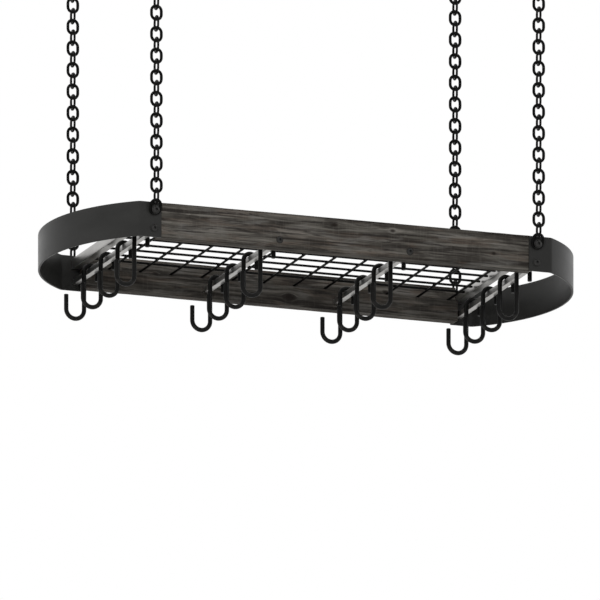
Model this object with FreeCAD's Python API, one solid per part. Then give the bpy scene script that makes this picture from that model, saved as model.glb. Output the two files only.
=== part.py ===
import FreeCAD, Part
import math
import os

# A pot rack of two wood boards and bowed steel end bands, hung from a ceiling on four chains.
# Millimetres. The origin lies on the ceiling's face, midway between the four screw hooks.
# X runs along the boards, Y points from the near board to the far one, and Z is up.

# Rack: its length between the bends of the end bands, and its width over the boards
rack_length = 914.4
rack_width = 484.0

# Boards
board_height = 76.2
board_thickness = 28.0
board_lift = 1.6
rabbet_depth = 14.0
rabbet_height = 31.75
board_arris = 1.5

# Bowed end bands of flat steel
band_thickness = 4.0
band_height = 76.2
band_bulge = 124.5
band_bend_radius = 10.0
band_tab_overlap = 6.7

# Cross bars and end rails. Their two heights are those of their middles above the bands' bottom.
bar_size = 12.7
bar_height = 19.05
inner_bar_spacing = 292.4
bolt_inset = 27.8
rail_thickness = 19.05
rail_depth = 22.2
rail_height = 57.15

# Button-head bolts and washers
bolt_radius = 4.0
bolt_hole_clearance = 0.25
thread_clearance = 0.1
thread_reach = 18.0
thread_run_out = 3.0
head_radius = 7.5
head_height = 4.4
head_rim = 0.9
head_flat_radius = 4.0
socket_across_flats = 5.0
socket_depth = 2.8
washer_radius = 9.0
washer_thickness = 1.6

# Lift-out wire shelf
shelf_wire = 5.0
cross_wire_pitch = 69.3
cross_wire_shift = 20.0
long_wire_pitch = 48.0
shelf_side_gap = 2.0
shelf_end_gap = 2.0
weld_sink = 0.5

# Chains. Their wire is rolled oval, wider across the plane of the link than it is thick.
link_wire_width = 6.2
link_wire_thickness = 4.4
chain_pitch = 23.5
link_width = 28.2
links_per_chain = 29
link_gap = 0.2

# Ceiling screw hooks
screw_hook_rod = 6.0
screw_hook_bend = 12.0
screw_hook_neck_bend = 6.0
screw_hook_seat = 6.0
screw_hook_neck = 8.0
screw_hook_tip_angle = 150.0
collar_radius = 9.0
collar_thickness = 2.5
screw_length = 40.0
screw_point = 9.0
screw_tip_radius = 0.5

# Pot hooks
hook_rod = 9.5
hook_crown_radius = 14.75
hook_leg_drop = 20.0
hook_depth = 110.0
hook_bowl_radius = 20.0
hook_tip_height = 56.5
hooks_per_bar = 4
hook_spacing = 104.0
hook_row_shift = -7.0

# Room left where one piece moves on another
running_gap = 0.3
edge_gap = 0.6

# Places that follow from the sizes above
bend_x = rack_length / 2
outer_face = rack_width / 2
inner_face = outer_face - board_thickness
rabbet_wall = outer_face - rabbet_depth
band_face = outer_face + band_thickness
end_bar_x = bend_x - bolt_inset
inner_bar_x = inner_bar_spacing / 2
bar_places = [-end_bar_x, -inner_bar_x, inner_bar_x, end_bar_x]
board_end = end_bar_x - rail_thickness / 2
tab_x = board_end - band_tab_overlap
upper_bolt_drop = band_height - rail_height

# Chain geometry. Each link hangs in the one above. The last link leans out from the bolt until
# the link above it, which stands square to the band, clears the band's top edge.
half_wire_width = link_wire_width / 2
half_wire_thickness = link_wire_thickness / 2
screw_hook_radius = screw_hook_rod / 2
bow_radius = link_width / 2 - half_wire_width
bow_spacing = chain_pitch + link_gap + link_wire_width
link_to_bolt = bolt_radius + half_wire_width + link_gap
link_to_hook = screw_hook_radius + half_wire_width + link_gap
last_link_out = half_wire_thickness + running_gap
bow_below_edge = bow_radius - upper_bolt_drop - link_to_bolt - link_wire_width - link_gap
edge_reach = link_width / 2 + edge_gap
lean_reach = math.hypot(last_link_out, bow_below_edge)
lean_share = edge_reach ** 2 - lean_reach ** 2 - bow_spacing ** 2
lean_limit = math.acos(max(-1.0, min(1.0, lean_share / (2 * bow_spacing * lean_reach))))
last_link_lean = max(0.0, math.atan2(last_link_out, bow_below_edge) - lean_limit)
chain_y = band_face + last_link_out + bow_spacing * math.sin(last_link_lean)
last_link_rise = bow_spacing * math.cos(last_link_lean)
chain_drop = last_link_rise + (links_per_chain - 1) * chain_pitch - link_to_bolt - link_to_hook

# The washer stands clear of the leaning link over the whole of its disc.
link_inner_half = bow_radius - half_wire_width
washer_span = math.sqrt(max(0.0, washer_radius ** 2 - link_inner_half ** 2))
lean_out = (washer_span + link_to_bolt) * math.tan(last_link_lean)
link_out = half_wire_thickness / math.cos(last_link_lean)
washer_stand_off = last_link_out + lean_out + link_out + running_gap

# Heights below the ceiling
neck_side = screw_hook_neck_bend - screw_hook_seat / 2
neck_drop = math.sqrt((screw_hook_bend + screw_hook_neck_bend) ** 2 - neck_side ** 2)
hook_bend_z = -screw_hook_neck - neck_drop
hook_seat_z = hook_bend_z - screw_hook_bend
upper_bolt_z = hook_seat_z - chain_drop
band_bottom_z = upper_bolt_z - rail_height
board_bottom_z = band_bottom_z + board_lift
board_top_z = board_bottom_z + board_height
ledge_z = board_top_z - rabbet_height
bar_z = band_bottom_z + bar_height

X_AXIS = FreeCAD.Vector(1, 0, 0)
Y_AXIS = FreeCAD.Vector(0, 1, 0)
Z_AXIS = FreeCAD.Vector(0, 0, 1)
CORNERS = {
    "near_left": (-1, -1),
    "near_right": (1, -1),
    "far_left": (-1, 1),
    "far_right": (1, 1),
}


def point(x, y, z):
    return FreeCAD.Vector(x, y, z)


def block(low, high):
    """A rectangular block between two opposite corners."""
    size = high - low
    return Part.makeBox(size.x, size.y, size.z, low)


def rod(start, end, radius):
    """A straight round rod from one point to another."""
    run = end - start
    return Part.makeCylinder(radius, run.Length, start, run)


def prism(corners, run):
    """A straight prism over a closed outline of straight edges."""
    outline = Part.makePolygon(corners + [corners[0]])
    return Part.Face(outline).extrude(run)


def arc(start, middle, end):
    return Part.Arc(start, middle, end).toShape()


def line(start, end):
    return Part.LineSegment(start, end).toShape()


def bent_rod(edges, radius):
    """A round rod carried along straight runs and tangent arcs."""
    path = Part.Wire(edges)
    start = edges[0].Vertexes[0].Point
    direction = edges[0].Vertexes[1].Point - start
    section = Part.Wire([Part.Circle(start, direction, radius).toShape()])
    return path.makePipeShell([section], True, False)


def save(name, solids):
    """Write one node, made of one solid or of several separate ones."""
    shape = solids[0] if len(solids) == 1 else Part.makeCompound(solids)
    shape.exportStep(os.path.join("parts", name + ".step"))


def board(side):
    """A board with chamfered arrises and a rabbet along its inner top edge."""
    outline = [
        (inner_face + board_arris, board_bottom_z),
        (outer_face - board_arris, board_bottom_z),
        (outer_face, board_bottom_z + board_arris),
        (outer_face, board_top_z - board_arris),
        (outer_face - board_arris, board_top_z),
        (rabbet_wall, board_top_z),
        (rabbet_wall, ledge_z),
        (inner_face, ledge_z),
        (inner_face, board_bottom_z + board_arris),
    ]
    corners = [point(-board_end, side * y, z) for y, z in outline]
    plank = prism(corners, X_AXIS * (2 * board_end))
    holes = []
    drill_radius = bolt_radius + bolt_hole_clearance
    for x in (-inner_bar_x, inner_bar_x):
        holes.append(rod(point(x, 0, bar_z), point(x, side * band_face, bar_z), drill_radius))
    return plank.cut(holes)


def end_band(end):
    """Flat steel rolled to a bow, with a rounded bend into a flat tab outside each board."""
    inner_bulge = band_bulge - band_thickness
    bend_y = outer_face - band_bend_radius
    chord_share = bend_y ** 2 + inner_bulge ** 2 - band_bend_radius ** 2
    inner_radius = chord_share / (2 * (inner_bulge - band_bend_radius))
    bow_x = bend_x + inner_bulge - inner_radius
    turn = math.atan2(bend_y, bend_x - bow_x)
    half_turn = (turn + math.pi / 2) / 2

    def face(offset):
        """Edges of one face of the band, from the far tab's end to the near one's."""
        bend = band_bend_radius + offset
        bow = inner_radius + offset
        flat = [
            (tab_x, outer_face + offset),
            (bend_x, outer_face + offset),
            (bend_x + bend * math.cos(half_turn), bend_y + bend * math.sin(half_turn)),
            (bow_x + bow * math.cos(turn), bow * math.sin(turn)),
        ]
        far = [point(end * x, y, band_bottom_z) for x, y in flat]
        near = [point(end * x, -y, band_bottom_z) for x, y in flat]
        crown = point(end * (bow_x + bow), 0, band_bottom_z)
        return [
            line(far[0], far[1]),
            arc(far[1], far[2], far[3]),
            arc(far[3], crown, near[3]),
            arc(near[3], near[2], near[1]),
            line(near[1], near[0]),
        ]

    def tab_end(side):
        return line(point(end * tab_x, side * outer_face, band_bottom_z),
                    point(end * tab_x, side * band_face, band_bottom_z))

    outline = Part.Wire(face(0) + [tab_end(-1)] + face(band_thickness)[::-1] + [tab_end(1)])
    band = Part.Face(outline).extrude(Z_AXIS * band_height)
    reach = band_face + band_thickness
    holes = []
    for z in (bar_z, upper_bolt_z):
        start = point(end * end_bar_x, -reach, z)
        finish = point(end * end_bar_x, reach, z)
        holes.append(rod(start, finish, bolt_radius + bolt_hole_clearance))
    return band.cut(holes)


def tapped_ends(bar, x, half_length, z):
    """Blind holes for the bolts in both ends of a bar."""
    depth = thread_reach + thread_run_out
    radius = bolt_radius + thread_clearance
    holes = []
    for side in (-1, 1):
        mouth = point(x, side * half_length, z)
        bottom = point(x, side * (half_length - depth), z)
        holes.append(rod(bottom, mouth, radius))
    return bar.cut(holes)


def cross_bar(x):
    """A square bar: the outer two reach the bands' tabs, the inner two stand between the boards."""
    half = bar_size / 2
    half_length = outer_face if abs(x) > board_end else inner_face
    low = point(x - half, -half_length, bar_z - half)
    high = point(x + half, half_length, bar_z + half)
    return tapped_ends(block(low, high), x, half_length, bar_z)


def end_rail(end):
    """A stout bar between the tabs of one band, against the ends of both boards."""
    x = end * end_bar_x
    half = rail_thickness / 2
    low = point(x - half, -outer_face, upper_bolt_z - rail_depth / 2)
    high = point(x + half, outer_face, upper_bolt_z + rail_depth / 2)
    return tapped_ends(block(low, high), x, outer_face, upper_bolt_z)


def shelf_grid():
    """Cross wires that lie on the ledges, with long wires welded on top of them."""
    radius = shelf_wire / 2
    half_width = rabbet_wall - shelf_side_gap
    half_length = board_end - shelf_end_gap
    cross_z = ledge_z + running_gap + radius
    long_z = cross_z + shelf_wire - weld_sink
    cross_room = 2 * (half_length - shelf_wire - abs(cross_wire_shift))
    cross_steps = int(cross_room / cross_wire_pitch)
    long_steps = int(2 * (inner_face - shelf_wire) / long_wire_pitch) - 1
    wires = []
    for index in range(cross_steps + 1):
        x = cross_wire_shift + (index - cross_steps / 2) * cross_wire_pitch
        wires.append(rod(point(x, -half_width, cross_z), point(x, half_width, cross_z), radius))
    for index in range(long_steps + 1):
        y = (index - long_steps / 2) * long_wire_pitch
        wires.append(rod(point(-half_length, y, long_z), point(half_length, y, long_z), radius))
    return wires[0].multiFuse(wires[1:]).Solids[0]


def facing_out(shape, x, y, z, side):
    """Turn a shape's own +Z away from the rack, and set its origin on the outside of a board."""
    turn = FreeCAD.Rotation(X_AXIS, -90 * side)
    placed = shape.copy()
    placed.Placement = FreeCAD.Placement(point(x, side * y, z), turn)
    return placed


def button_bolt(shank_length):
    """A domed bolt with a hexagon socket. Its head stands on z = 0 and its shank points down."""
    rise = (head_radius ** 2 - head_flat_radius ** 2 + head_rim ** 2 - head_height ** 2)
    dome_z = rise / (2 * (head_rim - head_height))
    dome_radius = math.hypot(head_radius, head_rim - dome_z)
    middle_angle = (math.atan2(head_rim - dome_z, head_radius)
                    + math.atan2(head_height - dome_z, head_flat_radius)) / 2
    middle = point(dome_radius * math.cos(middle_angle), 0,
                   dome_z + dome_radius * math.sin(middle_angle))
    bottom = point(0, 0, -shank_length)
    outline = Part.Wire([
        line(bottom, point(bolt_radius, 0, -shank_length)),
        line(point(bolt_radius, 0, -shank_length), point(bolt_radius, 0, 0)),
        line(point(bolt_radius, 0, 0), point(head_radius, 0, 0)),
        line(point(head_radius, 0, 0), point(head_radius, 0, head_rim)),
        arc(point(head_radius, 0, head_rim), middle, point(head_flat_radius, 0, head_height)),
        line(point(head_flat_radius, 0, head_height), point(0, 0, head_height)),
        line(point(0, 0, head_height), bottom),
    ])
    bolt = Part.Face(outline).revolve(point(0, 0, 0), Z_AXIS, 360)
    corner_radius = socket_across_flats / math.sqrt(3)
    corners = []
    for index in range(6):
        angle = math.radians(60 * index)
        corners.append(point(corner_radius * math.cos(angle), corner_radius * math.sin(angle),
                             head_height - socket_depth))
    return bolt.cut(prism(corners, Z_AXIS * socket_depth))


def washer():
    """A plain washer that stands on z = 0."""
    disc = Part.makeCylinder(washer_radius, washer_thickness)
    return disc.cut(Part.makeCylinder(bolt_radius + bolt_hole_clearance, washer_thickness))


def chain_link():
    """One welded link of oval wire in the XZ plane, centred on the origin."""
    half_leg = bow_spacing / 2 - bow_radius
    pieces = []
    for side in (-1, 1):
        centre = point(side * bow_radius, 0, side * half_leg)
        oval = Part.Ellipse(centre + X_AXIS * half_wire_width, centre + Y_AXIS * half_wire_thickness, centre)
        section = Part.Face(Part.Wire([oval.toShape()]))
        pieces.append(section.extrude(Z_AXIS * (-side * 2 * half_leg)))
        pieces.append(section.revolve(point(0, 0, centre.z), Y_AXIS, -180))
    return pieces[0].multiFuse(pieces[1:]).removeSplitter().Solids[0]


def chain(link, end, side):
    """Links hung in one another, every second one turned square, from bolt to ceiling hook."""
    x = end * end_bar_x
    bolt_bow = point(x, side * (band_face + last_link_out), upper_bolt_z - link_to_bolt)
    lean = FreeCAD.Rotation(X_AXIS, math.degrees(-side * last_link_lean))
    last = link.copy()
    last.Placement = FreeCAD.Placement(bolt_bow + lean.multVec(Z_AXIS * (bow_spacing / 2)), lean)
    links = [last]
    second_bow_z = bolt_bow.z + last_link_rise - link_wire_width - link_gap
    for index in range(links_per_chain - 1):
        middle_z = second_bow_z + index * chain_pitch + bow_spacing / 2
        turn = FreeCAD.Rotation(Z_AXIS, 90 if index % 2 == 0 else 0)
        upper = link.copy()
        upper.Placement = FreeCAD.Placement(point(x, side * chain_y, middle_z), turn)
        links.append(upper)
    return links


def ceiling_hook(end, side):
    """A screw hook: pointed screw, collar against the ceiling, and a bend under the screw."""
    x = end * end_bar_x

    def place(inward, z):
        return point(x, side * (chain_y - inward), z)

    half_seat = screw_hook_seat / 2
    tip = math.radians(screw_hook_tip_angle)
    neck = place(0, -screw_hook_neck)
    join_share = screw_hook_bend / (screw_hook_bend + screw_hook_neck_bend)
    join = place(half_seat + join_share * neck_side, hook_bend_z + join_share * neck_drop)
    half_turn = math.atan2(neck_drop, neck_side) / 2
    neck_middle_angle = math.pi + half_turn
    neck_middle = place(screw_hook_neck_bend * (1 + math.cos(neck_middle_angle)),
                        -screw_hook_neck + screw_hook_neck_bend * math.sin(neck_middle_angle))
    tip_middle_angle = (tip + 1.5 * math.pi) / 2
    edges = [
        line(place(0, 0), neck),
        arc(neck, neck_middle, join),
        arc(join, place(half_seat + screw_hook_bend, hook_bend_z), place(half_seat, hook_seat_z)),
        line(place(half_seat, hook_seat_z), place(-half_seat, hook_seat_z)),
        arc(place(-half_seat, hook_seat_z),
            place(-half_seat + screw_hook_bend * math.cos(tip_middle_angle),
                  hook_bend_z + screw_hook_bend * math.sin(tip_middle_angle)),
            place(-half_seat + screw_hook_bend * math.cos(tip),
                  hook_bend_z + screw_hook_bend * math.sin(tip))),
    ]
    bend = bent_rod(edges, screw_hook_radius)
    collar = rod(place(0, -collar_thickness), place(0, 0), collar_radius)
    taper_z = screw_length - screw_point
    screw = rod(place(0, -collar_thickness), place(0, taper_z), screw_hook_radius)
    cone = Part.makeCone(screw_hook_radius, screw_tip_radius, screw_point, place(0, taper_z))
    return bend.multiFuse([collar, screw, cone]).removeSplitter().Solids[0]


def pot_hook(x, y):
    """A bent rod: a crown over the bar, a long shank, and a bowl that opens to the left."""
    bar_half = bar_size / 2
    hook_radius = hook_rod / 2
    crown_inner = hook_crown_radius - hook_radius - running_gap
    crown_z = bar_z + bar_half - math.sqrt(crown_inner ** 2 - bar_half ** 2)
    bowl_z = bar_z - hook_depth + hook_radius + hook_bowl_radius
    tip_z = bar_z - hook_depth + hook_tip_height
    leg_x = x + hook_crown_radius
    shank_x = x - hook_crown_radius
    bowl_x = shank_x - hook_bowl_radius
    tip_x = bowl_x - hook_bowl_radius
    edges = [
        line(point(leg_x, y, bar_z - hook_leg_drop), point(leg_x, y, crown_z)),
        arc(point(leg_x, y, crown_z), point(x, y, crown_z + hook_crown_radius),
            point(shank_x, y, crown_z)),
        line(point(shank_x, y, crown_z), point(shank_x, y, bowl_z)),
        arc(point(shank_x, y, bowl_z), point(bowl_x, y, bowl_z - hook_bowl_radius),
            point(tip_x, y, bowl_z)),
        line(point(tip_x, y, bowl_z), point(tip_x, y, tip_z)),
    ]
    return bent_rod(edges, hook_radius)


os.makedirs("parts", exist_ok=True)

save("board_near", [board(-1)])
save("board_far", [board(1)])
save("end_band_left", [end_band(-1)])
save("end_band_right", [end_band(1)])
save("end_rail_left", [end_rail(-1)])
save("end_rail_right", [end_rail(1)])
save("shelf_grid", [shelf_grid()])
for bar_index, bar_x in enumerate(bar_places):
    save(f"cross_bar_{bar_index + 1}", [cross_bar(bar_x)])

# Bolts run through the tabs, or through a board, into the tapped ends of bars and rails.
washer_face = band_face + washer_thickness
upper_head_y = band_face + washer_stand_off + washer_thickness
upper_bolt = button_bolt(upper_head_y - outer_face + thread_reach)
end_bolt = button_bolt(washer_face - outer_face + thread_reach)
middle_bolt = button_bolt(board_thickness + thread_reach)
flat_washer = washer()
upper_bolts = []
upper_washers = []
end_bolts = []
end_washers = []
for end, side in CORNERS.values():
    corner_x = end * end_bar_x
    washer_y = band_face + washer_stand_off
    upper_bolts.append(facing_out(upper_bolt, corner_x, upper_head_y, upper_bolt_z, side))
    upper_washers.append(facing_out(flat_washer, corner_x, washer_y, upper_bolt_z, side))
    end_bolts.append(facing_out(end_bolt, corner_x, washer_face, bar_z, side))
    end_washers.append(facing_out(flat_washer, corner_x, band_face, bar_z, side))
middle_bolts = []
for bar_x in bar_places[1:-1]:
    for side in (-1, 1):
        middle_bolts.append(facing_out(middle_bolt, bar_x, outer_face, bar_z, side))
save("upper_bolts", upper_bolts)
save("upper_washers", upper_washers)
save("end_bolts", end_bolts)
save("end_washers", end_washers)
save("middle_bolts", middle_bolts)

# Chains and the screw hooks that hold them
one_link = chain_link()
for corner, (end, side) in CORNERS.items():
    save("chain_" + corner, chain(one_link, end, side))
    save("ceiling_hook_" + corner, [ceiling_hook(end, side)])

# Pot hooks, counted from the left bar to the right and from the near board to the far one
first_hook_y = hook_row_shift - hook_spacing * (hooks_per_bar - 1) / 2
for bar_index, bar_x in enumerate(bar_places):
    for place_index in range(hooks_per_bar):
        hook_y = first_hook_y + place_index * hook_spacing
        save(f"pot_hook_{bar_index + 1}_{place_index + 1}", [pot_hook(bar_x, hook_y)])
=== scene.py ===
import math

import bpy
import numpy as np
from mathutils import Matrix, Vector


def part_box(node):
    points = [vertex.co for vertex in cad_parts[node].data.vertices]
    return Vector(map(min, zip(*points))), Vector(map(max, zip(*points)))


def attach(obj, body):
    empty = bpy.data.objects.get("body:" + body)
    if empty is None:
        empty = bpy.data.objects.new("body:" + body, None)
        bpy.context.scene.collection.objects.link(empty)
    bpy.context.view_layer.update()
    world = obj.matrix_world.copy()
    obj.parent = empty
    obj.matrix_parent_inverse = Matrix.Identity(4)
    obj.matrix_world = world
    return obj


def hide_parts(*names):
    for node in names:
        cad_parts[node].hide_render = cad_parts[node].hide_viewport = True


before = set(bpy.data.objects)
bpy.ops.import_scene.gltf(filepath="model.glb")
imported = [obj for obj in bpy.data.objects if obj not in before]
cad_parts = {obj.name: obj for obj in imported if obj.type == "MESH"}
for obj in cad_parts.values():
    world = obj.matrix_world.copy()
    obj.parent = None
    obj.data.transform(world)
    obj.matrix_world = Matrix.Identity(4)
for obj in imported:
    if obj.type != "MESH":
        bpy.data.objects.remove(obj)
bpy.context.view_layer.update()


# Boards: two planks of weathered softwood, rabbeted along the inner top edge.
# Sawn and planed, left to go grey, and worn round along every arris.
# They stand between the end rails, and bolts pass through them into the inner cross bars.
board_row_step = 0.0025
board_loop_step = 0.0014
board_arris = 0.0022
rabbet_depth = 0.014
rabbet_height = 0.03175
corner_steps = 5
end_rows = 4
end_inset = 0.5
ridge_height = 0.00016
hollow_height = 0.00014
crack_depth = 0.0006
crack_start = 0.62
crack_fade = 0.2
planed_share = 0.7
knot_dish = 0.0005
knot_stretch = 1.7
knot_edge = 1.3
# Darkening along the long edges, partly handling wear and partly painted shade: how far it reaches, its
# mean and its swing
edge_dark_reach = 0.0032
edge_dark_mean = 0.65
edge_dark_swing = 0.35
smooth_angle = math.radians(40)
near_seed = 7
far_seed = 13

# Waves per metre of the relief and of the darkening along the edges (partly wear, partly painted shade):
# along the board and across it
fine_ridges = (34, 420)
broad_ridges = (9, 160)
hollow_waves = (5, 45)
crack_waves = (7, 260)
edge_dark_waves = (22, 30)

# Knots of each board: place along the board, height above its bottom edge, radius
near_knots = np.array([
    (-0.022, 0.061, 0.0050),
    (0.108, 0.0595, 0.0040),
    (0.335, 0.030, 0.0032),
])
far_knots = np.array([
    (0.041, 0.0184, 0.0085),
    (-0.255, 0.047, 0.0050),
    (0.262, 0.052, 0.0045),
])


def rounded_loop(corners, radius, step):
    """Closed outline through corners, as points.

    Straight runs are cut into equal steps. Each corner c is a parabola from a to b,
    (1 - t)^2 a + 2 t (1 - t) c + t^2 b, where a and b lie one radius either side of c.
    """
    corners = np.asarray(corners, float)
    back = np.roll(corners, 1, axis=0) - corners
    onward = np.roll(corners, -1, axis=0) - corners
    starts = corners + radius * back / np.linalg.norm(back, axis=1)[:, None]
    ends = corners + radius * onward / np.linalg.norm(onward, axis=1)[:, None]
    turn = np.linspace(0, 1, corner_steps)[:, None]
    runs = []
    for start, corner, end, following in zip(starts, corners, ends, np.roll(starts, -1, axis=0)):
        runs.append((1 - turn) ** 2 * start + 2 * turn * (1 - turn) * corner + turn ** 2 * end)
        count = max(1, round(np.linalg.norm(following - end) / step))
        share = np.linspace(0, 1, count + 1)[1:-1, None]
        runs.append(end + share * (following - end))
    return np.concatenate(runs)


def drift(along, across, waves, seed):
    """Smooth random heights from -1 to 1, with a number of waves per metre along and across.

    Random values stand on a lattice, one to a wave, and 3t^2 - 2t^3 blends them between its corners.
    """
    size = 128
    lattice = np.random.default_rng(seed).uniform(-1, 1, (size, size))
    along = along * waves[0]
    across = across * waves[1]
    column = np.floor(along).astype(int)
    row = np.floor(across).astype(int)
    u = along - column
    v = across - row
    u = u * u * (3 - 2 * u)
    v = v * v * (3 - 2 * v)
    left, right = column % size, (column + 1) % size
    lower, upper = row % size, (row + 1) % size
    bottom = lattice[left, lower] * (1 - u) + lattice[right, lower] * u
    top = lattice[left, upper] * (1 - u) + lattice[right, upper] * u
    return bottom * (1 - v) + top * v


def skin(rings, poles=None):
    """Vertices, quads and triangles of a closed skin over rings, an array (rows, around, 3).

    Quads join each ring to the next. A fan of triangles joins an end ring to its pole, and
    with no poles the last ring joins the first. A skin whose volume comes out negative is
    inside out, so its faces are turned round.
    """
    rows, around = rings.shape[:2]
    vertices = rings.reshape(-1, 3)
    here = np.arange(around)
    there = np.roll(here, -1)
    row = np.arange(rows if poles is None else rows - 1)[:, None] * around
    ahead = (row + around) % (rows * around)
    quads = np.stack([row + here, row + there, ahead + there, ahead + here], axis=-1).reshape(-1, 4)
    fans = np.zeros((0, 3), int)
    if poles is not None:
        last = (rows - 1) * around
        low_pole = np.full(around, rows * around)
        low_fan = np.stack([there, here, low_pole], axis=-1)
        high_fan = np.stack([last + here, last + there, low_pole + 1], axis=-1)
        fans = np.concatenate([low_fan, high_fan])
        vertices = np.concatenate([vertices, np.asarray(poles, float)])
    triangles = np.concatenate([quads[:, :3], quads[:, [0, 2, 3]], fans])
    a, b, c = (vertices[triangles[:, index]] for index in range(3))
    if np.sum(a * np.cross(b, c)) < 0:
        quads, fans = quads[:, ::-1], fans[:, ::-1]
    return vertices, quads, fans


def add_piece(name, skins, material, body, nodes, attributes=None):
    """One object from one or more skins, riding on its body and standing for its CAD nodes."""
    vertices, faces, count = [], [], 0
    for points, quads, fans in skins:
        vertices.append(points)
        faces += (quads + count).tolist()
        faces += (fans + count).tolist()
        count += len(points)
    mesh = bpy.data.meshes.new(name)
    mesh.from_pydata(np.concatenate(vertices).tolist(), [], faces)
    for key, values in (attributes or {}).items():
        kind, field = ("FLOAT", "value") if values.ndim == 1 else ("FLOAT_VECTOR", "vector")
        attribute = mesh.attributes.new(key, kind, "POINT")
        attribute.data.foreach_set(field, values.astype(np.float32).ravel())
    mesh.shade_smooth()
    mesh.set_sharp_from_angle(angle=smooth_angle)
    mesh.materials.append(material)
    piece = bpy.data.objects.new(name, mesh)
    bpy.context.scene.collection.objects.link(piece)
    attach(piece, body)
    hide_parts(*nodes)


def paint(red, green, blue):
    """A colour written as display values from 0 to 255, as linear light with full cover."""
    shown = np.array([red, green, blue]) / 255
    light = np.where(shown <= 0.04045, shown / 12.92, ((shown + 0.055) / 1.055) ** 2.4)
    return (*light.tolist(), 1.0)


def add_node(tree, kind, inputs, **settings):
    """One shader node. An input is a number, a colour or the output of another node."""
    made = tree.nodes.new(kind)
    for option, value in settings.items():
        setattr(made, option, value)
    for socket, value in inputs.items():
        if isinstance(value, bpy.types.NodeSocket):
            tree.links.new(value, made.inputs[socket])
        else:
            made.inputs[socket].default_value = value
    return made


def colour_ramp(tree, factor, stops):
    """A ramp through (place, colour) stops, read at a factor."""
    made = add_node(tree, "ShaderNodeValToRGB", {"Fac": factor})
    elements = made.color_ramp.elements
    while len(elements) < len(stops):
        elements.new(1.0)
    for element, (place, colour) in zip(elements, stops):
        element.position = place
        element.color = colour
    return made.outputs["Color"]


def spread(tree, factor, low, high, new_low, new_high):
    """A factor stretched from one range to another and held inside it."""
    ends = {"Value": factor, "From Min": low, "From Max": high, "To Min": new_low, "To Max": new_high}
    return add_node(tree, "ShaderNodeMapRange", ends).outputs["Result"]


def blend_colours(tree, factor, first, second):
    """Two colours mixed by a factor: sockets 6 and 7 take the colours, and output 2 gives the mix."""
    made = add_node(tree, "ShaderNodeMix", {0: factor, 6: first, 7: second}, data_type="RGBA")
    return made.outputs[2]


def noise(tree, vector, stretch, detail, roughness, distortion=0.0):
    """Cloudy noise, with its grains drawn out by a stretch along each axis."""
    drawn = add_node(tree, "ShaderNodeMapping", {"Vector": vector, "Scale": stretch})
    settings = {"Vector": drawn.outputs[0], "Scale": 1.0, "Detail": detail,
                "Roughness": roughness, "Distortion": distortion}
    return add_node(tree, "ShaderNodeTexNoise", settings).outputs["Fac"]


def new_material(name):
    """An empty node material, with its shader and its tree."""
    material = bpy.data.materials.new(name)
    material.use_nodes = True
    tree = material.node_tree
    return material, tree, tree.nodes["Principled BSDF"]


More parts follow.
